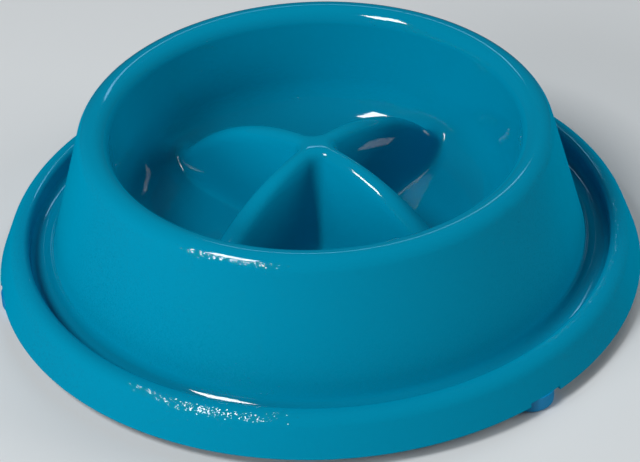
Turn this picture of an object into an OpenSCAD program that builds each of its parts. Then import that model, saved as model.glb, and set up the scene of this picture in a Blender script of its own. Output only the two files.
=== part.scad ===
// Slow feeder bowl: a one-piece plastic moulding with a water moat round it, four ridges that
// meet in a peak inside it, and three push-in rubber feet under the ring.
// Millimetres. +Z is up, the origin is on the floor under the middle of the bowl, and -Y is the front.

/* [Moulding] */
// Wall thickness of the moulding
wall = 2.8; // [2:0.1:3.2]
// Height from the skirt's edge to the top of the rim
bowl_h = 71.6; // [66:0.2:90]

/* [Ring and skirt] */
// Height of the ring's crest above the skirt's edge
ring_h = 17.6; // [15:0.2:22]
// Lean of the skirt from upright, in degrees
skirt_lean = 20.5; // [10:0.5:24]
// Outer rounding of the ring's crest
crest_round = 7.2; // [5:0.1:8]
// Flat left on the crest between its two roundings
crest_flat = 0.3; // [0.2:0.1:2]
// Rounding where the crest drops into the moat
lip_round = 2.5; // [1.5:0.1:4]

/* [Moat] */
// Width of the moat's floor between its two corners
moat_w = 9.2; // [9.2:0.2:16]
// Height of the moat's floor above the skirt's edge
moat_floor_h = 8; // [6:0.2:10]
// Rounding between the moat's outer wall and its floor
moat_round = 3.4; // [2:0.1:3.6]
// Rounding between the moat's floor and the outer cone
flare_round = 7; // [4:0.5:7.5]
// Draft of the upright walls, in degrees
draft = 3.5; // [1:0.5:5]

/* [Cone and rim] */
// Lean of the outer cone from upright, in degrees
cone_lean = 15; // [12:0.5:16]
// Radius of the middle of the rounded rim
rim_r = 98.3; // [96:0.1:100]
// Rounding of the rim, over its outside and its inside
rim_round = 7.4; // [6:0.1:9]

/* [Basin] */
// Height of the basin's floor above the skirt's edge
floor_h = 13.5; // [11:0.5:17]
// Rounding between the basin's floor and its wall
floor_round = 25; // [18:0.5:30]

/* [Ridges] */
// Depth of the ridges' meeting peak below the top of the rim
peak_drop = 11.6; // [8:0.2:18]
// Radius of the arc that each crest follows from wall to wall
ridge_arc_r = 104; // [98:0.5:110]
// Rounding across a crest at the peak
ridge_tip_r = 4; // [3.6:0.1:5]
// Rounding across a crest where it comes down to the basin's wall
ridge_end_r = 6.5; // [5.5:0.1:7]
// Steepness of a ridge's sides from level, in degrees
ridge_steep = 80; // [76:0.5:83]
// Turn of the ridge cross round the upright axis, in degrees
ridge_turn = 48; // [0:1:90]
// How far the second pair of ridges passes under the first at the peak
crossing_drop = 0.4; // [0.3:0.05:0.8]

/* [Rubber feet] */
// Turn of the first foot round the upright axis, in degrees
foot_turn = -50; // [-60:1:-30]
// Radius of a foot's head
foot_head_r = 9.9; // [8:0.1:10.5]
// How far the feet reach below the skirt's edge
foot_drop = 5.8; // [4:0.1:7]
// How far a foot's head is let in above the skirt's edge
foot_sink = 1.8; // [1.5:0.1:2.4]
// How far a foot's head stands out past the skirt's edge
foot_proud = 0.2; // [0:0.1:0.6]
// Width of the notch that a foot's head shows through in the skirt
notch_w = 17.4; // [16.6:0.2:20]
// Rounding of a foot's bottom edge
foot_round = 2; // [0.8:0.1:2.4]
// Radius of a foot's stem between its ribs
stem_r = 2.2; // [1.8:0.1:2.4]
// Height of a foot's stem above its head
stem_h = 8; // [6:0.2:9]
// How far the stem's ribs stand out
stem_rib = 0.4; // [0.2:0.05:0.5]
// Radius of the boss that takes a stem
boss_r = 4.8; // [4.4:0.1:5]
// Clearance round a foot's head and stem
foot_fit = 0.15; // [0.1:0.05:0.3]

/* [Hidden] */
$fn = 96;
// Overrun of every cut past the face that it goes through
overrun = 1;
// Degrees of rounding between two points of an outline
arc_step = 12;
plastic_blue = [0.0, 0.52, 0.68];
rubber_blue = [0.0, 0.5, 0.72];

feet = 3;
stem_ribs = 3;
foot_head_h = foot_drop + foot_sink;
moat_depth = ring_h - moat_floor_h;
peak_h = bowl_h - peak_drop;
// The ridges' bodies are rooted inside the form, under the basin's floor, and end there
ridge_root_h = floor_h / 10;
ridge_end_h = floor_h - wall - overrun / 2;
ridge_steps = 12;
tip_steps = 4;
// The rim is tangent to the outer cone and to the basin's wall
rim_outer_r = rim_r + rim_round * tan((90 - cone_lean) / 2);
rim_inner_r = rim_r - rim_round * tan((90 - draft) / 2);
basin_r = rim_inner_r - (bowl_h - floor_h) * tan(draft);
// From the cone's foot outward: the moat, the ring's crest and the skirt
cone_foot_r = rim_outer_r + (bowl_h - moat_floor_h) * tan(cone_lean);
moat_foot_r = cone_foot_r + moat_w;
moat_r = moat_foot_r + moat_depth * tan(draft);
crest_w = lip_round * tan((90 - draft) / 2) + crest_flat + crest_round * tan((90 - skirt_lean) / 2);
skirt_top_r = moat_r + crest_w;
ring_r = skirt_top_r + ring_h * tan(skirt_lean);
foot_circle_r = ring_r + foot_proud - foot_head_r;

// The outline of the moulding's top face, from the skirt's edge over the ring, the moat and the
// rim to the middle of the basin: radius, height and rounding of each corner
corners = [
    [ring_r, 0, 0],
    [skirt_top_r, ring_h, crest_round],
    [moat_r, ring_h, lip_round],
    [moat_foot_r, moat_floor_h, moat_round],
    [cone_foot_r, moat_floor_h, flare_round],
    [rim_outer_r, bowl_h, rim_round],
    [rim_inner_r, bowl_h, rim_round],
    [basin_r, floor_h, floor_round],
    [0, floor_h, 0]
];

function flat(p) = [p[0], p[1]];
function unit(v) = v / norm(v);
function left_of(v) = [-v[1], v[0]];
function turned(v, a) = [v[0] * cos(a) - v[1] * sin(a), v[0] * sin(a) + v[1] * cos(a)];
function heading(path, i) = unit(flat(path[i + 1]) - flat(path[i]));
function bend(path, i) =
    let (u = heading(path, i - 1), v = heading(path, i)) atan2(cross(u, v), u * v);

// A corner of the path moved into the material by the depth t, with its rounding to match
function inset_corner(path, i, t) =
    let (
        n = left_of(heading(path, i - 1)),
        m = left_of(heading(path, i)),
        p = flat(path[i]) + (n + m) * t / (1 + n * m)
    )
    [p[0], p[1], max(0, path[i][2] - sign(bend(path, i)) * t)];

// The whole path at the depth t under the top face, ending on the skirt's edge and on the axis
function inset_path(path, t) = [
    [path[0][0] - t / cos(skirt_lean), path[0][1], 0],
    for (i = [1 : len(path) - 2]) inset_corner(path, i, t),
    [0, path[len(path) - 1][1] - t, 0]
];

// The points of one rounded corner
function corner_points(path, i) =
    let (
        u = heading(path, i - 1),
        a = bend(path, i),
        r = path[i][2],
        start = flat(path[i]) - u * r * tan(abs(a) / 2),
        spoke = left_of(u) * r * sign(a),
        steps = max(1, round(abs(a) / arc_step))
    )
    r > 0 ? [for (k = [0 : steps]) start + spoke - turned(spoke, a * k / steps)] : [flat(path[i])];

// The points of the whole outline
function outline(path) = [
    flat(path[0]),
    for (i = [1 : len(path) - 2]) each corner_points(path, i),
    flat(path[len(path) - 1])
];

// The height of a crest at the distance s from the middle, at the depth t under the top face
function crest_h(s, t) = peak_h - ridge_arc_r + sqrt(pow(ridge_arc_r - t, 2) - pow(s, 2));

// A ridge's cross-section there: straight flanks under a rounded tip that widens outward
function ridge_section(s, t) =
    let (
        tip = ridge_tip_r + (ridge_end_r - ridge_tip_r) * abs(s) / basin_r - t,
        mid_h = crest_h(s, t) - tip,
        half = (tip + (mid_h - ridge_root_h) * cos(ridge_steep)) / sin(ridge_steep)
    )
    [
        [s, -half, ridge_root_h],
        for (k = [-tip_steps : tip_steps])
            let (a = ridge_steep * k / tip_steps) [s, tip * sin(a), mid_h + tip * cos(a)],
        [s, half, ridge_root_h]
    ];

// Everything under the moulding's skin at the depth t, without the ridges
module turned_form(t, below) {
    path = outline(inset_path(corners, t));
    rotate_extrude() polygon(concat([[0, -below], [path[0][0], -below]], path));
}

// One arched ridge from wall to wall at the depth t, through the middle of the basin
module ridge_pair(t) {
    arc = ridge_arc_r - t;
    reach = acos((ridge_arc_r - peak_h + ridge_end_h) / arc);
    sections = [
        for (k = [-ridge_steps : ridge_steps]) ridge_section(arc * sin(reach * k / ridge_steps), t)
    ];
    last = len(sections) - 1;
    n = len(sections[0]);
    polyhedron(
        points = [for (section = sections) each section],
        faces = [
            [for (j = [n - 1 : -1 : 0]) j],
            [for (j = [0 : n - 1]) last * n + j],
            for (i = [0 : last - 1], j = [0 : n - 1])
                let (k = (j + 1) % n) [i * n + j, i * n + k, (i + 1) * n + k, (i + 1) * n + j]
        ]
    );
}

// The cross of ridges at the depth t, with the second pair passing just under the first
module ridge_cross(t) {
    for (pair = [0, 1])
        rotate(ridge_turn + 90 * pair) translate([0, 0, -pair * crossing_drop]) ridge_pair(t);
}

// The moulding's outer form at depth 0, and its core at the depth of the wall
module form(t, below = 0) {
    turned_form(t, below);
    ridge_cross(t);
}

module at_foot(i) {
    rotate(foot_turn + i * 360 / feet) translate([foot_circle_r, 0, 0]) children();
}

// The recess that a foot's head sits in, its notch through the skirt, and the blind bore for its stem
module foot_seat() {
    translate([0, 0, -overrun]) {
        cylinder(r = foot_head_r + foot_fit, h = foot_sink + overrun);
        translate([0, -notch_w / 2, 0])
            cube([foot_head_r + overrun, notch_w, foot_sink + overrun]);
    }
    cylinder(r = stem_r + stem_rib + foot_fit, h = foot_sink + stem_h + foot_fit);
}

// The moulding's core: the inner form, with a pocket for each foot's boss
module core() {
    difference() {
        form(wall, overrun);
        for (i = [0 : feet - 1]) at_foot(i) cylinder(r = boss_r, h = ring_h);
    }
}

module bowl() {
    color(plastic_blue)
        translate([0, 0, foot_drop])
            difference() {
                form(0);
                core();
                for (i = [0 : feet - 1]) at_foot(i) foot_seat();
            }
}

// The stem's ribs, each a low tooth that points down so that the foot pushes in and holds
function rib_points(pitch) = [
    for (k = [0 : stem_ribs - 1]) each [
        [stem_r, foot_head_h + pitch * (k + 1)],
        [stem_r + stem_rib, foot_head_h + pitch * (k + 1)],
        [stem_r, foot_head_h + pitch * (k + 2)]
    ]
];

module foot() {
    head = corner_points([[0, 0, 0], [foot_head_r, 0, foot_round], [foot_head_r, foot_head_h, 0]], 1);
    pitch = stem_h / (stem_ribs + 1);
    rotate_extrude()
        polygon(concat(
            [[0, 0]], head, [[foot_head_r, foot_head_h], [stem_r, foot_head_h]], rib_points(pitch),
            [[0, foot_head_h + stem_h]]
        ));
}

module foot_front() {
    color(rubber_blue) at_foot(0) foot();
}

module foot_rear() {
    color(rubber_blue) at_foot(1) foot();
}

module foot_side() {
    color(rubber_blue) at_foot(2) foot();
}

bowl();
foot_front();
foot_rear();
foot_side();
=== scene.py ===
"""The looks of a slow feeder bowl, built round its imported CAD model.

Metres, +Z up, the floor at z = 0, and -Y towards the camera. The sizes below are millimetres and the angles
degrees, as on the moulding's drawing, unless a comment says otherwise. MM turns them into metres.
"""

from math import atan2, cos, degrees, pi, radians, sin, sinh, sqrt, tan

import bmesh
import bpy
import numpy as np
from mathutils import Matrix, Vector


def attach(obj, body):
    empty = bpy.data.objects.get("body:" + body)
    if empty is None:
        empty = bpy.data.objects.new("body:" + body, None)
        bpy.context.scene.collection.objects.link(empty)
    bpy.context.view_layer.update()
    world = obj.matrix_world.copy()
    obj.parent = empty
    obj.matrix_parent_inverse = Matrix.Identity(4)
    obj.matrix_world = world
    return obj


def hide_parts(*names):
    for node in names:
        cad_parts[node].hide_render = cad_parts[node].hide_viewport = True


MM = 0.001

# Moulding
WALL = 2.8
BOWL_H = 71.6
RING_H = 17.6
SKIRT_LEAN = 20.5
CREST_ROUND = 7.2
CREST_FLAT = 0.3
LIP_ROUND = 2.5
MOAT_W = 9.2
MOAT_FLOOR_H = 8.0
MOAT_ROUND = 3.4
FLARE_ROUND = 7.0
DRAFT = 3.5
CONE_LEAN = 15.0
RIM_R = 98.3
RIM_ROUND = 7.4
FLOOR_H = 13.5
FLOOR_ROUND = 25.0
EDGE_BREAK = 0.4

# Ridges
PEAK_H = 60.0
RIDGE_ARC_R = 104.0
RIDGE_TIP_R = 4.0
RIDGE_END_R = 6.5
RIDGE_STEEP = 80.0
RIDGE_TURN = 48.0
PEAK_CORNER = 18.0
PEAK_REACH = 16.0
VALLEY_CORNER = 2.8
FOOT_BLEND = 15.0

# The round sheet that carries the ridges, and how far past its edge it reads the basin's outline
SHEET_R = 87.0
SHEET_MARGIN = 4.35

# Rubber feet
FEET = 3
FOOT_TURN = -50.0
FOOT_HEAD_R = 9.9
FOOT_DROP = 5.8
FOOT_SINK = 1.8
FOOT_PROUD = 0.2
FOOT_ROUND = 2.0
NOTCH_W = 17.4
STEM_R = 2.2
STEM_H = 8.0
STEM_RIB = 0.4
STEM_RIBS = 3
BOSS_R = 4.8
FOOT_FIT = 0.15

# How far a cutter reaches past what it cuts
OVERRUN = 1.0

# How finely the moulding's top face and its core are meshed: cells across the sheet that carries the
# ridges, and degrees of rounding between two rings. The sheet's cells are packed together about the ridges,
# and its last rows at the edge
TOP_CELLS, TOP_STEP = 120, 5.5
CORE_CELLS, CORE_STEP = 72, 8.0
RIDGE_PACKING = 2.8
EDGE_PACKING = 1.4
BOSS_SIDES = 64
FOOT_SIDES = 96
FOOT_ROUND_STEPS = 8

# Points closer than this are one
WELD = 0.02

# Creases, by the angle between two faces
MOULDING_CREASE = 50
FOOT_CREASE = 40

# The bowl's plastic
BOWL_BLUE = "#008BAE"
BOWL_IOR = 1.49

# Its grain: how steep the rim is where it begins, its crystals' size, and how far they tilt the normal
GRAIN_FROM = 45.0
GRAIN_SIZE = 0.5
GRAIN_TILT = Vector((0.12, 0.12, 0.4))

# The backdrop that the camera sees past the lamps' reach, and the distances in metres over which it fades in
BACKDROP = "#C9CED1"
BACKDROP_FROM, BACKDROP_FULL = 0.4, 1.1

# How far the floor reaches each way, in metres
FLOOR_REACH = 6


# The frame

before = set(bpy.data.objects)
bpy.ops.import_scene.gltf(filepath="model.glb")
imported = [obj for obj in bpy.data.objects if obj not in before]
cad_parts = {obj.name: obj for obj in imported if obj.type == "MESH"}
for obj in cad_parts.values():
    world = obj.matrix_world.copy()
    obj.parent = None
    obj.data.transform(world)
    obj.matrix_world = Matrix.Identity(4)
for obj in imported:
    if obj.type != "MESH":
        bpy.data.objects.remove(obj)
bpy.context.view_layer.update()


# The camera, at the photograph's viewing angle: its distance in metres, its turns in radians, and its lens
# in millimetres

CAMERA_RANGE = 1.2405
CAMERA_RISE = 0.6350
CAMERA_YAW = 0.0003
CAMERA_PITCH = 0.0075
CAMERA_ROLL = -0.0392
CAMERA_LENS = 153.54


def make_camera():
    """A long lens aimed at the middle of the skirt's edge, with the photograph's slight tilt."""
    data = bpy.data.cameras.new("camera")
    data.lens = CAMERA_LENS
    data.sensor_width = 36
    data.clip_start = 0.05
    camera = bpy.data.objects.new("camera", data)
    bpy.context.scene.collection.objects.link(camera)
    aim = Matrix.Rotation(pi / 2 - CAMERA_RISE, 3, "X")
    tilt = (
        Matrix.Rotation(-CAMERA_YAW, 3, "Y")
        @ Matrix.Rotation(CAMERA_PITCH, 3, "X")
        @ Matrix.Rotation(CAMERA_ROLL, 3, "Z")
    )
    back = Vector((0, -cos(CAMERA_RISE), sin(CAMERA_RISE)))
    place = Vector((0, 0, FOOT_DROP * MM)) + back * CAMERA_RANGE
    camera.matrix_world = Matrix.Translation(place) @ (aim @ tilt).to_4x4()
    bpy.context.scene.camera = camera


make_camera()


# Nodes


def add_node(tree, kind, settings=None, inputs=None):
    """Adds one node with its settings, and gives each named input a value or another node's output."""
    node = tree.nodes.new(kind)
    for name, value in (settings or {}).items():
        setattr(node, name, value)
    for name, value in (inputs or {}).items():
        if isinstance(value, bpy.types.NodeSocket):
            tree.links.new(value, node.inputs[name])
        else:
            node.inputs[name].default_value = value
    return node


def linear(hex_colour):
    """The linear RGBA of an sRGB hex colour."""
    shares = [int(hex_colour[i : i + 2], 16) / 255 for i in (1, 3, 5)]
    return [c / 12.92 if c <= 0.04045 else ((c + 0.055) / 1.055) ** 2.4 for c in shares] + [1]


def per_metre(pitch_mm):
    """The scale of a pattern whose features lie that many millimetres apart."""
    return 1 / (pitch_mm * MM)


# Materials


def new_material(name):
    """A material, its node tree and its Principled shader."""
    material = bpy.data.materials.new(name)
    material.use_nodes = True
    tree = material.node_tree
    return material, tree, tree.nodes["Principled BSDF"]


def make_uneven(tree, shader, spacing, height, strength, detail):
    """Bumps the shader with soft noise, whose waves are that many millimetres apart and high."""
    place = add_node(tree, "ShaderNodeTexCoord").outputs["Object"]
    waves = add_node(
        tree,
        "ShaderNodeTexNoise",
        {"noise_dimensions": "3D"},
        {"Vector": place, "Scale": per_metre(spacing), "Detail": detail},
    )
    bump = add_node(
        tree,
        "ShaderNodeBump",
        None,
        {"Strength": strength, "Distance": height * MM, "Height": waves.outputs["Fac"]},
    )
    tree.links.new(bump.outputs["Normal"], shader.inputs["Normal"])


def polished_polypropylene():
    """Injection-moulded polypropylene from a polished cavity: a deep even colour with crisp reflections,
    which a slight waviness from uneven cooling bends a little."""
    material, tree, shader = new_material("polished polypropylene")
    make_uneven(tree, shader, spacing=24, height=0.25, strength=0.35, detail=1.5)
    shader.inputs["Base Color"].default_value = linear(BOWL_BLUE)
    shader.inputs["Roughness"].default_value = 0.05
    shader.inputs["IOR"].default_value = BOWL_IOR
    return material


def sparked_polypropylene():
    """The same polypropylene from a cavity wall that was spark-eroded. Each crystal of its grain mirrors by
    itself, tilted its own way, so a reflection breaks up into sparkles. The gloss lies on the grain and the
    colour on the smooth form. The real grain is about 0.2 mm, and is drawn at 0.5 mm to show."""
    material, tree, shader = new_material("spark-eroded polypropylene")
    place = add_node(tree, "ShaderNodeTexCoord").outputs["Object"]
    crystals = add_node(
        tree,
        "ShaderNodeTexVoronoi",
        {"voronoi_dimensions": "3D"},
        {"Vector": place, "Scale": per_metre(GRAIN_SIZE)},
    )
    # The crystals' random colours run from 0 to 1, and become tilts either way. The electrode was turned on
    # a lathe, and its marks, which run round the bowl, tilt them further up and down than along
    tilt = add_node(
        tree,
        "ShaderNodeVectorMath",
        {"operation": "MULTIPLY_ADD"},
        {0: crystals.outputs["Color"], 1: 2 * GRAIN_TILT, 2: -GRAIN_TILT},
    )
    upright = add_node(tree, "ShaderNodeNewGeometry").outputs["Normal"]
    tilted = add_node(
        tree, "ShaderNodeVectorMath", {"operation": "ADD"}, {0: upright, 1: tilt.outputs["Vector"]}
    )
    facing = add_node(tree, "ShaderNodeVectorMath", {"operation": "NORMALIZE"}, {0: tilted.outputs["Vector"]})
    tree.links.new(facing.outputs["Vector"], shader.inputs["Coat Normal"])
    # The crystals shade each other where they are seen edge-on, and the gloss fades
    edge_on = add_node(tree, "ShaderNodeLayerWeight", None, {"Blend": 0.5}).outputs["Facing"]
    gloss = add_node(
        tree,
        "ShaderNodeMapRange",
        {"interpolation_type": "SMOOTHSTEP"},
        {"Value": edge_on, "From Min": 0.4, "From Max": 0.7, "To Min": 1.0, "To Max": 0.0},
    )
    tree.links.new(gloss.outputs["Result"], shader.inputs["Coat Weight"])
    shader.inputs["Base Color"].default_value = linear(BOWL_BLUE)
    shader.inputs["Roughness"].default_value = 0.6
    shader.inputs["Specular IOR Level"].default_value = 0.0
    shader.inputs["Coat IOR"].default_value = BOWL_IOR
    shader.inputs["Coat Roughness"].default_value = 0.05
    return material


def cored_polypropylene():
    """The core side of the moulding, off plain machined steel: satin, with none of the polish above."""
    material, tree, shader = new_material("satin polypropylene")
    make_uneven(tree, shader, spacing=1.2, height=0.05, strength=0.3, detail=2.0)
    shader.inputs["Base Color"].default_value = linear("#0088AA")
    shader.inputs["Roughness"].default_value = 0.34
    shader.inputs["IOR"].default_value = BOWL_IOR
    return material


def moulded_rubber():
    """Soft thermoplastic rubber, a little bluer than the bowl: smooth, with a broad dull sheen."""
    material, tree, shader = new_material("thermoplastic rubber")
    make_uneven(tree, shader, spacing=0.8, height=0.05, strength=0.25, detail=2.0)
    shader.inputs["Base Color"].default_value = linear("#0088C0")
    shader.inputs["Roughness"].default_value = 0.42
    shader.inputs["IOR"].default_value = 1.5
    return material


def plain_paper():
    """Matt white background paper. Past the lamps' reach the camera sees it as evenly lit as it is here."""
    material, tree, shader = new_material("background paper")
    shader.inputs["Base Color"].default_value = linear("#DCE0E2")
    shader.inputs["Roughness"].default_value = 0.9
    place = add_node(tree, "ShaderNodeTexCoord").outputs["Object"]
    away = add_node(tree, "ShaderNodeVectorMath", {"operation": "LENGTH"}, {0: place})
    far = add_node(
        tree,
        "ShaderNodeMapRange",
        {"interpolation_type": "SMOOTHSTEP"},
        {"Value": away.outputs["Value"], "From Min": BACKDROP_FROM, "From Max": BACKDROP_FULL},
    )
    seen = add_node(tree, "ShaderNodeLightPath").outputs["Is Camera Ray"]
    share = add_node(tree, "ShaderNodeMath", {"operation": "MULTIPLY"}, {0: far.outputs["Result"], 1: seen})
    backdrop = add_node(tree, "ShaderNodeEmission", None, {"Color": linear(BACKDROP), "Strength": 1.0})
    mix = add_node(
        tree, "ShaderNodeMixShader", None, {0: share.outputs[0], 1: shader.outputs[0], 2: backdrop.outputs[0]}
    )
    tree.links.new(mix.outputs[0], tree.nodes["Material Output"].inputs["Surface"])
    material.cycles.emission_sampling = "NONE"
    return material


POLISHED, SPARKED, CORED = range(3)
finishes = [polished_polypropylene(), sparked_polypropylene(), cored_polypropylene()]
rubber = moulded_rubber()


# The moulding's outline

# Its corners, from the skirt's edge to the middle of the basin
SKIRT, CREST, LIP, MOAT, CONE_FOOT, RIM_OUTER, RIM_INNER, BASIN, MIDDLE = range(9)


def moulding_path():
    """The radius, height and rounding of each corner of the top face. The rim is tangent to the cone and to
    the basin's wall."""
    rim_outer = RIM_R + RIM_ROUND * tan(radians(90 - CONE_LEAN) / 2)
    rim_inner = RIM_R - RIM_ROUND * tan(radians(90 - DRAFT) / 2)
    basin = rim_inner - (BOWL_H - FLOOR_H) * tan(radians(DRAFT))
    cone_foot = rim_outer + (BOWL_H - MOAT_FLOOR_H) * tan(radians(CONE_LEAN))
    moat_foot = cone_foot + MOAT_W
    moat = moat_foot + (RING_H - MOAT_FLOOR_H) * tan(radians(DRAFT))
    crest = (
        LIP_ROUND * tan(radians(90 - DRAFT) / 2) + CREST_FLAT + CREST_ROUND * tan(radians(90 - SKIRT_LEAN) / 2)
    )
    skirt_top = moat + crest
    ring = skirt_top + RING_H * tan(radians(SKIRT_LEAN))
    return [
        (ring, 0, 0),
        (skirt_top, RING_H, CREST_ROUND),
        (moat, RING_H, LIP_ROUND),
        (moat_foot, MOAT_FLOOR_H, MOAT_ROUND),
        (cone_foot, MOAT_FLOOR_H, FLARE_ROUND),
        (rim_outer, BOWL_H, RIM_ROUND),
        (rim_inner, BOWL_H, RIM_ROUND),
        (basin, FLOOR_H, FLOOR_ROUND),
        (0, FLOOR_H, 0),
    ]


def bend(path, i):
    """The unit headings into and out of a corner, and the signed angle between them."""
    before, here, after = (Vector(path[k][:2]) for k in (i - 1, i, i + 1))
    u, v = (here - before).normalized(), (after - here).normalized()
    return u, v, atan2(u.x * v.y - u.y * v.x, u.dot(v))


def inset(path, depth):
    """The path moved into the material by that depth, each rounding changed to match."""
    moved = [(path[0][0] - depth / cos(radians(SKIRT_LEAN)), path[0][1], 0)]
    for i in range(1, len(path) - 1):
        u, v, angle = bend(path, i)
        n, m = Vector((-u.y, u.x)), Vector((-v.y, v.x))
        corner = Vector(path[i][:2]) + (n + m) * depth / (1 + n.dot(m))
        moved.append((corner.x, corner.y, max(0, path[i][2] - depth * (1 if angle > 0 else -1))))
    return moved + [(0, path[-1][1] - depth, 0)]


def outline(path, arc_step):
    """The points of the path with its corners rounded, and for each point the corner it belongs to."""
    points, owners = [Vector(path[0][:2])], [0]
    for i in range(1, len(path) - 1):
        u, _, angle = bend(path, i)
        rounding, corner = path[i][2], Vector(path[i][:2])
        if rounding == 0:
            points.append(corner)
            owners.append(i)
            continue
        start = corner - u * rounding * tan(abs(angle) / 2)
        spoke = Vector((-u.y, u.x)) * rounding * (1 if angle > 0 else -1)
        steps = max(2, round(degrees(abs(angle)) / arc_step))
        for k in range(steps + 1):
            turned = Matrix.Rotation(angle * k / steps, 2) @ spoke
            points.append(start + spoke - turned)
            owners.append(i)
    points.append(Vector(path[-1][:2]))
    owners.append(len(path) - 1)
    return points, owners


PATH = moulding_path()
FOOT_CIRCLE_R = PATH[SKIRT][0] + FOOT_PROUD - FOOT_HEAD_R


# The ridge cross


def ridge_tree():
    """Raises a level sheet into the ridge cross. How far a place lies from the nearer ridge line says how
    far it is down a ridge's rounded tip and its straight flank, and a smooth minimum of the two distances
    rounds the corners between the ridges. Depth moves the form down into the material, for the underside."""
    tree = bpy.data.node_groups.new("ridge cross", "GeometryNodeTree")
    face = tree.interface
    face.new_socket("Geometry", in_out="INPUT", socket_type="NodeSocketGeometry")
    for name in (
        "Peak", "Arc Radius", "Tip Radius", "End Radius", "Basin Radius", "Steepness", "Turn", "Depth",
        "Peak Corner", "Peak Reach", "Valley Corner", "Foot Blend",
    ):
        face.new_socket(name, in_out="INPUT", socket_type="NodeSocketFloat")
    face.new_socket("Finish", in_out="INPUT", socket_type="NodeSocketMaterial")
    face.new_socket("Geometry", in_out="OUTPUT", socket_type="NodeSocketGeometry")
    sizes = add_node(tree, "NodeGroupInput").outputs
    place = add_node(tree, "GeometryNodeInputPosition").outputs["Position"]
    turned = add_node(
        tree,
        "ShaderNodeVectorRotate",
        {"rotation_type": "Z_AXIS", "invert": True},
        {"Vector": place, "Angle": sizes["Turn"]},
    ).outputs["Vector"]
    across = add_node(tree, "ShaderNodeSeparateXYZ", None, {"Vector": turned}).outputs
    here = add_node(tree, "ShaderNodeSeparateXYZ", None, {"Vector": place}).outputs

    values = {socket.name: socket for socket in sizes}
    values.update({"first line": across["Y"], "second line": across["X"], "floor": here["Z"]})
    # Each row names a value and says how it is worked out from the ones above it
    rows = [
        # The crests' arc, turned round the upright axis
        ("first squared", "POWER", "first line", 2),
        ("second squared", "POWER", "second line", 2),
        ("reach squared", "ADD", "first squared", "second squared"),
        ("reach", "SQRT", "reach squared"),
        ("reach share", "DIVIDE", "reach", "Basin Radius"),
        ("arc", "SUBTRACT", "Arc Radius", "Depth"),
        ("arc squared", "POWER", "arc", 2),
        ("rise squared", "SUBTRACT", "arc squared", "reach squared"),
        ("rise", "SQRT", "rise squared"),
        ("arc centre", "SUBTRACT", "Peak", "Arc Radius"),
        ("crest", "ADD", "arc centre", "rise"),
        # The distance from the nearer ridge line, with corners that are wide at the peak
        ("peak share", "DIVIDE", "reach", "Peak Reach"),
        ("peak share squared", "POWER", "peak share", 2),
        ("off peak", "MINIMUM", "peak share squared", 1),
        ("near peak", "SUBTRACT", 1, "off peak"),
        ("peak weight", "POWER", "near peak", 2),
        ("widest", "SUBTRACT", "Peak Corner", "Valley Corner"),
        ("corner", "MULTIPLY_ADD", "widest", "peak weight", "Valley Corner"),
        ("off first", "ABSOLUTE", "first line"),
        ("off second", "ABSOLUTE", "second line"),
        ("nearer", "SMOOTH_MIN", "off first", "off second", "corner"),
        ("off line", "MAXIMUM", "nearer", 0),
        # The drop from the crest: round the tip, then down the flank
        ("tip at peak", "SUBTRACT", "Tip Radius", "Depth"),
        ("widening", "SUBTRACT", "End Radius", "Tip Radius"),
        ("tip", "MULTIPLY_ADD", "widening", "reach share", "tip at peak"),
        ("steep sine", "SINE", "Steepness"),
        ("tip reach", "MULTIPLY", "tip", "steep sine"),
        ("over tip", "MINIMUM", "off line", "tip reach"),
        ("tip squared", "POWER", "tip", 2),
        ("over tip squared", "POWER", "over tip", 2),
        ("tip rise squared", "SUBTRACT", "tip squared", "over tip squared"),
        ("tip rise", "SQRT", "tip rise squared"),
        ("tip drop", "SUBTRACT", "tip", "tip rise"),
        ("down flank", "SUBTRACT", "off line", "over tip"),
        ("slope", "TANGENT", "Steepness"),
        ("drop", "MULTIPLY_ADD", "down flank", "slope", "tip drop"),
        ("ridge", "SUBTRACT", "crest", "drop"),
        ("raised", "SMOOTH_MAX", "floor", "ridge", "Foot Blend"),
    ]
    for name, operation, *terms in rows:
        inputs = {i: values.get(term, term) for i, term in enumerate(terms)}
        made = add_node(tree, "ShaderNodeMath", {"operation": operation, "label": name}, inputs)
        values[name] = made.outputs[0]

    position = add_node(
        tree, "ShaderNodeCombineXYZ", None, {"X": here["X"], "Y": here["Y"], "Z": values["raised"]}
    )
    moved = add_node(
        tree, "GeometryNodeSetPosition", None, {"Geometry": sizes["Geometry"], "Position": position.outputs[0]}
    )
    real = add_node(tree, "GeometryNodeRealizeInstances", None, {"Geometry": moved.outputs["Geometry"]})
    done = add_node(
        tree,
        "GeometryNodeSetMaterial",
        None,
        {"Geometry": real.outputs["Geometry"], "Material": sizes["Finish"]},
    )
    add_node(tree, "NodeGroupOutput", None, {"Geometry": done.outputs["Geometry"]})
    return tree


RIDGES = ridge_tree()


def object_of(name, data):
    """A new object in the scene that shows a mesh or a light."""
    made = bpy.data.objects.new(name, data)
    bpy.context.scene.collection.objects.link(made)
    return made


def settled(host):
    """The host's evaluated mesh by itself. The host and its modifiers are removed."""
    graph = bpy.context.evaluated_depsgraph_get()
    mesh = bpy.data.meshes.new_from_object(host.evaluated_get(graph))
    bpy.data.objects.remove(host)
    return mesh


def through_tree(name, mesh, tree, values):
    """The mesh after a Geometry Nodes tree with those inputs."""
    host = object_of(name, mesh)
    modifier = host.modifiers.new(name, "NODES")
    modifier.node_group = tree
    for item in tree.interface.items_tree:
        if item.item_type == "SOCKET" and item.in_out == "INPUT" and item.name in values:
            modifier[item.identifier] = values[item.name]
    return settled(host)


# The bowl


def packed(share):
    """A place from -1 to 1 on the sheet, with the places close together about the ridges and at the edge."""
    return sinh(RIDGE_PACKING * sin(EDGE_PACKING * share)) / sinh(RIDGE_PACKING * sin(EDGE_PACKING))


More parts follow.
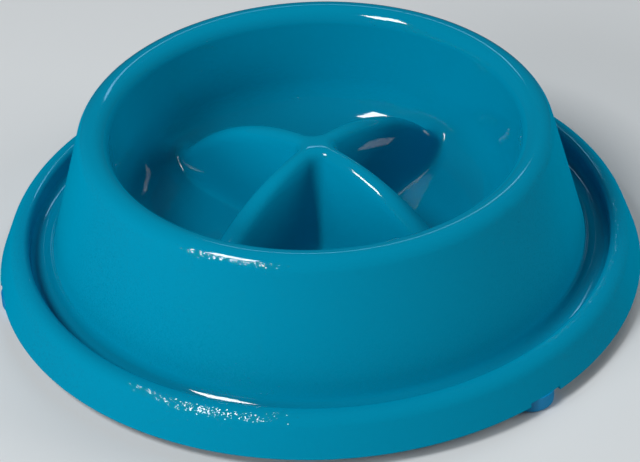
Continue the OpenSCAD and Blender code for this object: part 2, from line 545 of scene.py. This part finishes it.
def sheet_mesh(points, cells):
    """The floor of the basin as a round sheet, a square net drawn out to a circle. Its lines follow the
    ridges, and its height is the outline's."""
    basin = [(p.x, p.y) for p in points if p.x < SHEET_R + SHEET_MARGIN and p.y < BOWL_H / 2]
    radii, heights = zip(*sorted(basin))
    places = [packed(2 * k / cells - 1) for k in range(cells + 1)]
    turn = Matrix.Rotation(radians(RIDGE_TURN), 2)
    verts, faces = [], []
    for v in places:
        for u in places:
            spot = turn @ Vector((u * sqrt(1 - v * v / 2), v * sqrt(1 - u * u / 2))) * SHEET_R
            verts.append((spot.x * MM, spot.y * MM, (np.interp(spot.length, radii, heights) + FOOT_DROP) * MM))
    row = cells + 1
    for j in range(cells):
        for i in range(cells):
            ring = [j * row + i, j * row + i + 1, (j + 1) * row + i + 1, (j + 1) * row + i]
            # The first corner sets each cell's diagonal, which follows the valley between two ridges
            same_side = (i + 0.5 - cells / 2) * (j + 0.5 - cells / 2) > 0
            faces.append(ring if same_side else ring[1:] + ring[:1])
    mesh = bpy.data.meshes.new("sheet")
    mesh.from_pydata(verts, [], faces)
    return mesh


def rim_azimuths(mesh):
    """The azimuths of the sheet's outer points, in order."""
    edge = [v.co for v in mesh.vertices if v.co.to_2d().length > (SHEET_R - WELD) * MM]
    return sorted(atan2(p.y, p.x) for p in edge)


def swept(bm, points, finish, azimuths):
    """Sweeps an outline round the upright axis, and closes its first ring with a level disc."""
    rings = []
    for p in points:
        rings.append(
            [bm.verts.new((p.x * cos(a) * MM, p.x * sin(a) * MM, (p.y + FOOT_DROP) * MM)) for a in azimuths]
        )
    count = len(azimuths)
    for k in range(len(rings) - 1):
        for j in range(count):
            n = (j + 1) % count
            face = bm.faces.new((rings[k][j], rings[k][n], rings[k + 1][n], rings[k + 1][j]))
            face.material_index = finish[k]
    middle = bm.verts.new((0, 0, (points[0].y + FOOT_DROP) * MM))
    for j in range(count):
        face = bm.faces.new((rings[0][(j + 1) % count], rings[0][j], middle))
        face.material_index = CORED


def finish_along(points, owners):
    """The finish of each stretch of the outline: the skirt, the ring's crest and the cone are sparked, and
    the rim is where it is steeper than GRAIN_FROM."""
    stretches = []
    for k, (here, after) in enumerate(zip(owners, owners[1:])):
        along = points[k + 1] - points[k]
        steep = degrees(atan2(abs(along.y), abs(along.x)))
        ring = here <= CREST and after <= LIP
        cone = here in (CONE_FOOT, RIM_OUTER) and after == RIM_OUTER and steep > GRAIN_FROM
        stretches.append(SPARKED if ring or cone else POLISHED)
    return stretches


def body_of_revolution(name, depth, below, cells, arc_step):
    """The moulding's form at a depth under its skin, as one closed mesh with the ridge cross in it. Below says
    how far it is drawn down past the skirt's edge."""
    points, owners = outline(inset(PATH, depth) if depth else PATH, arc_step)
    finish = [CORED] * len(owners)
    if depth == 0:
        # A small break along the skirt's lower edge
        edge, up = points[0], (points[1] - points[0]).normalized()
        points[:1] = [edge - Vector((EDGE_BREAK, 0)), edge + up * EDGE_BREAK]
        owners[:1] = [SKIRT, SKIRT]
        finish = finish_along(points, owners)
    sheet = through_tree(
        name + " sheet",
        sheet_mesh(points, cells),
        RIDGES,
        {
            "Peak": (PEAK_H + FOOT_DROP) * MM,
            "Arc Radius": RIDGE_ARC_R * MM,
            "Tip Radius": RIDGE_TIP_R * MM,
            "End Radius": RIDGE_END_R * MM,
            "Basin Radius": PATH[BASIN][0] * MM,
            "Steepness": radians(RIDGE_STEEP),
            "Turn": radians(RIDGE_TURN),
            "Depth": depth * MM,
            "Peak Corner": PEAK_CORNER * MM,
            "Peak Reach": PEAK_REACH * MM,
            "Valley Corner": VALLEY_CORNER * MM,
            "Foot Blend": FOOT_BLEND * MM,
            "Finish": finishes[CORED if depth else POLISHED],
        },
    )
    azimuths = rim_azimuths(sheet)
    # The outline stops at the sheet's edge, on the rounding between the floor and the wall
    last = next(k for k in range(len(points) - 1, 0, -1) if points[k].x > SHEET_R)
    share = (points[last].x - SHEET_R) / (points[last].x - points[last + 1].x)
    points = points[: last + 1] + [points[last].lerp(points[last + 1], share)]
    finish = finish[: last + 1]
    if below:
        points = [Vector((points[0].x, -below))] + points
        finish = [CORED] + finish
    bm = bmesh.new()
    bm.from_mesh(sheet)
    for face in bm.faces:
        face.material_index = CORED if depth else POLISHED
    swept(bm, points, finish, azimuths)
    bmesh.ops.remove_doubles(bm, verts=bm.verts, dist=WELD * MM)
    bmesh.ops.recalc_face_normals(bm, faces=bm.faces)
    return bmesh_object(name, bm)


def bmesh_object(name, bm):
    """Turns a bmesh into an object with the moulding's finishes."""
    mesh = bpy.data.meshes.new(name)
    bm.to_mesh(mesh)
    bm.free()
    for finish in finishes:
        mesh.materials.append(finish)
    return object_of(name, mesh)


def foot_place(i):
    """The place of a foot's axis, turned so that +X is outward."""
    turn = radians(FOOT_TURN + i * 360 / FEET)
    return Matrix.Rotation(turn, 4, "Z") @ Matrix.Translation((FOOT_CIRCLE_R * MM, 0, 0))


def posts(name, radius, low, high):
    """A plain round post at each foot's place, from one height to another."""
    bm = bmesh.new()
    for i in range(FEET):
        shift = Matrix.Translation((0, 0, (low + high) / 2 * MM))
        bmesh.ops.create_cone(
            bm,
            cap_ends=True,
            segments=BOSS_SIDES,
            radius1=radius * MM,
            radius2=radius * MM,
            depth=(high - low) * MM,
            matrix=foot_place(i) @ shift,
        )
    for face in bm.faces:
        face.material_index = CORED
    return bmesh_object(name, bm)


def notches():
    """The opening through the skirt at each foot, as wide as the part of its head that shows."""
    bm = bmesh.new()
    for i in range(FEET):
        low, high = FOOT_DROP - OVERRUN, FOOT_DROP + FOOT_SINK
        reach = FOOT_HEAD_R + OVERRUN
        box = Matrix.Translation((reach / 2 * MM, 0, (low + high) / 2 * MM)) @ Matrix.Diagonal(
            (reach * MM, NOTCH_W * MM, (high - low) * MM, 1)
        )
        bmesh.ops.create_cube(bm, size=1, matrix=foot_place(i) @ box)
    for face in bm.faces:
        face.material_index = CORED
    return bmesh_object("notches", bm)


def cut(target, cutter):
    """Takes the cutter out of the target and removes it."""
    modifier = target.modifiers.new("cut", "BOOLEAN")
    modifier.operation = "DIFFERENCE"
    modifier.solver = "MANIFOLD"
    modifier.material_mode = "INDEX"
    modifier.object = cutter
    name = target.name
    mesh = settled(target)
    bpy.data.objects.remove(cutter)
    return object_of(name, mesh)


def smooth(mesh, sharp_from):
    """Shades the mesh smooth, with a crease where its faces turn by more than that many degrees."""
    mesh.shade_smooth()
    mesh.set_sharp_from_angle(angle=radians(sharp_from))


core = body_of_revolution("core", WALL, OVERRUN, CORE_CELLS, CORE_STEP)
core = cut(core, posts("bosses", BOSS_R, FOOT_DROP - 2 * OVERRUN, FOOT_DROP + RING_H))
bowl = body_of_revolution("bowl_moulding", 0, 0, TOP_CELLS, TOP_STEP)
bowl = cut(bowl, core)
bowl = cut(bowl, posts("head recesses", FOOT_HEAD_R + FOOT_FIT, FOOT_DROP - OVERRUN, FOOT_DROP + FOOT_SINK))
bowl = cut(bowl, notches())
stem_top = FOOT_DROP + FOOT_SINK + STEM_H + FOOT_FIT
bowl = cut(bowl, posts("stem bores", STEM_R + STEM_RIB + FOOT_FIT, FOOT_DROP, stem_top))
smooth(bowl.data, MOULDING_CREASE)
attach(bowl, "root")
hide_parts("bowl")


# The rubber feet


def foot_profile():
    """Half the section of one foot: a rounded head under a stem with downward barbs."""
    head = FOOT_DROP + FOOT_SINK
    points = [Vector((0, 0))]
    for k in range(FOOT_ROUND_STEPS + 1):
        a = radians(90 * k / FOOT_ROUND_STEPS)
        across = FOOT_HEAD_R - FOOT_ROUND + FOOT_ROUND * sin(a)
        points.append(Vector((across, FOOT_ROUND - FOOT_ROUND * cos(a))))
    points += [Vector((FOOT_HEAD_R, head)), Vector((STEM_R, head))]
    pitch = STEM_H / (STEM_RIBS + 1)
    for k in range(STEM_RIBS):
        low = head + pitch * (k + 1)
        points += [Vector((STEM_R, low)), Vector((STEM_R + STEM_RIB, low)), Vector((STEM_R, low + pitch))]
    return points + [Vector((0, head + STEM_H))]


def foot_mesh():
    """The foot's profile turned round its axis. A point on the axis closes the turn."""
    bm = bmesh.new()
    spokes = [2 * pi * j / FOOT_SIDES for j in range(FOOT_SIDES)]
    rings = []
    for p in foot_profile():
        if p.x == 0:
            rings.append([bm.verts.new((0, 0, p.y * MM))])
        else:
            rings.append([bm.verts.new((p.x * cos(a) * MM, p.x * sin(a) * MM, p.y * MM)) for a in spokes])
    for low, high in zip(rings, rings[1:]):
        for j in range(FOOT_SIDES):
            n = (j + 1) % FOOT_SIDES
            corners = [low[j % len(low)], low[n % len(low)], high[n % len(high)], high[j % len(high)]]
            # On the axis two corners are one, and the face has three
            corners = [c for k, c in enumerate(corners) if c not in corners[:k]]
            bm.faces.new(corners)
    bmesh.ops.remove_doubles(bm, verts=bm.verts, dist=WELD * MM)
    bmesh.ops.recalc_face_normals(bm, faces=bm.faces)
    mesh = bpy.data.meshes.new("foot")
    bm.to_mesh(mesh)
    bm.free()
    return mesh


def feet_tree():
    """Stands a copy of the foot at even steps round a circle."""
    tree = bpy.data.node_groups.new("feet round the ring", "GeometryNodeTree")
    face = tree.interface
    face.new_socket("Geometry", in_out="INPUT", socket_type="NodeSocketGeometry")
    face.new_socket("Feet", in_out="INPUT", socket_type="NodeSocketInt")
    face.new_socket("Circle Radius", in_out="INPUT", socket_type="NodeSocketFloat")
    face.new_socket("First Turn", in_out="INPUT", socket_type="NodeSocketFloat")
    face.new_socket("Finish", in_out="INPUT", socket_type="NodeSocketMaterial")
    face.new_socket("Geometry", in_out="OUTPUT", socket_type="NodeSocketGeometry")
    sizes = add_node(tree, "NodeGroupInput").outputs
    ring = add_node(
        tree, "GeometryNodeMeshCircle", None, {"Vertices": sizes["Feet"], "Radius": sizes["Circle Radius"]}
    )
    turn = add_node(tree, "ShaderNodeCombineXYZ", None, {"Z": sizes["First Turn"]})
    turned = add_node(
        tree, "GeometryNodeTransform", None, {"Geometry": ring.outputs["Mesh"], "Rotation": turn.outputs[0]}
    )
    stood = add_node(
        tree,
        "GeometryNodeInstanceOnPoints",
        None,
        {"Points": turned.outputs["Geometry"], "Instance": sizes["Geometry"]},
    )
    real = add_node(tree, "GeometryNodeRealizeInstances", None, {"Geometry": stood.outputs["Instances"]})
    done = add_node(
        tree,
        "GeometryNodeSetMaterial",
        None,
        {"Geometry": real.outputs["Geometry"], "Material": sizes["Finish"]},
    )
    add_node(tree, "NodeGroupOutput", None, {"Geometry": done.outputs["Geometry"]})
    return tree


def nearest_foot(point):
    """The number of the foot that a point belongs to, counted from the first one."""
    turn = degrees(atan2(point.y, point.x)) - FOOT_TURN
    return round(turn / (360 / FEET)) % FEET


feet = through_tree(
    "feet",
    foot_mesh(),
    feet_tree(),
    {
        "Feet": FEET,
        "Circle Radius": FOOT_CIRCLE_R * MM,
        "First Turn": radians(FOOT_TURN),
        "Finish": rubber,
    },
)
for i, node_name in enumerate(("foot_front", "foot_rear", "foot_side")):
    bm = bmesh.new()
    bm.from_mesh(feet)
    others = [v for v in bm.verts if nearest_foot(v.co) != i]
    bmesh.ops.delete(bm, geom=others, context="VERTS")
    mesh = bpy.data.meshes.new(node_name + "_rubber")
    bm.to_mesh(mesh)
    bm.free()
    mesh.materials.clear()
    mesh.materials.append(rubber)
    smooth(mesh, FOOT_CREASE)
    foot = object_of(node_name + "_rubber", mesh)
    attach(foot, "root")
    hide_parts(node_name)


# Light and floor


def area_light(name, azimuth, elevation, distance, size, power, colour="#FFFFFF", mirrored=True):
    """A softbox seen from the bowl in that direction, in degrees, with its long side level. Its distance and
    sides are in metres, and its power in watts. One that isn't mirrored stands behind a crossed polariser,
    which takes its reflections off the plastic."""
    data = bpy.data.lights.new(name, "AREA")
    data.shape = "RECTANGLE"
    data.size, data.size_y = size
    data.energy = power
    data.color = linear(colour)[:3]
    light = object_of(name, data)
    a, e = radians(azimuth), radians(elevation)
    towards = Vector((cos(a) * cos(e), sin(a) * cos(e), sin(e)))
    light.location = towards * distance + Vector((0, 0, BOWL_H / 2 * MM))
    light.rotation_mode = "QUATERNION"
    light.rotation_quaternion = towards.to_track_quat("Z", "Y")
    light.visible_glossy = mirrored


area_light("key softbox", -141, 52, 1.8, (0.48, 0.5), 18)
area_light("back strip", 84, 40, 2.0, (0.6, 0.1), 0.9, "#A8D8FF")
area_light("front fill", -136, 24, 1.8, (1.2, 0.6), 14, mirrored=False)
area_light("right fill", 2, 18, 1.8, (1.2, 0.5), 13, mirrored=False)
area_light("back fill", 62, 46, 1.8, (1.0, 0.9), 7, mirrored=False)

world = bpy.data.worlds.new("studio")
bpy.context.scene.world = world
world.use_nodes = True
sky = world.node_tree
dim = sky.nodes["Background"]
dim.inputs["Color"].default_value = linear("#FFFFFF")
dim.inputs["Strength"].default_value = 0.02
seen = add_node(sky, "ShaderNodeLightPath").outputs["Is Camera Ray"]
backdrop = add_node(sky, "ShaderNodeBackground", None, {"Color": linear(BACKDROP), "Strength": 1.0})
mix = add_node(sky, "ShaderNodeMixShader", None, {0: seen, 1: dim.outputs[0], 2: backdrop.outputs[0]})
sky.links.new(mix.outputs[0], sky.nodes["World Output"].inputs["Surface"])

floor_mesh = bpy.data.meshes.new("floor")
floor_corners = [(x * FLOOR_REACH, y * FLOOR_REACH, 0) for x, y in ((-1, -1), (1, -1), (1, 1), (-1, 1))]
floor_mesh.from_pydata(floor_corners, [], [(0, 1, 2, 3)])
floor_mesh.materials.append(plain_paper())
floor = object_of("floor", floor_mesh)
floor.visible_glossy = False

bpy.context.scene.view_settings.view_transform = "Standard"
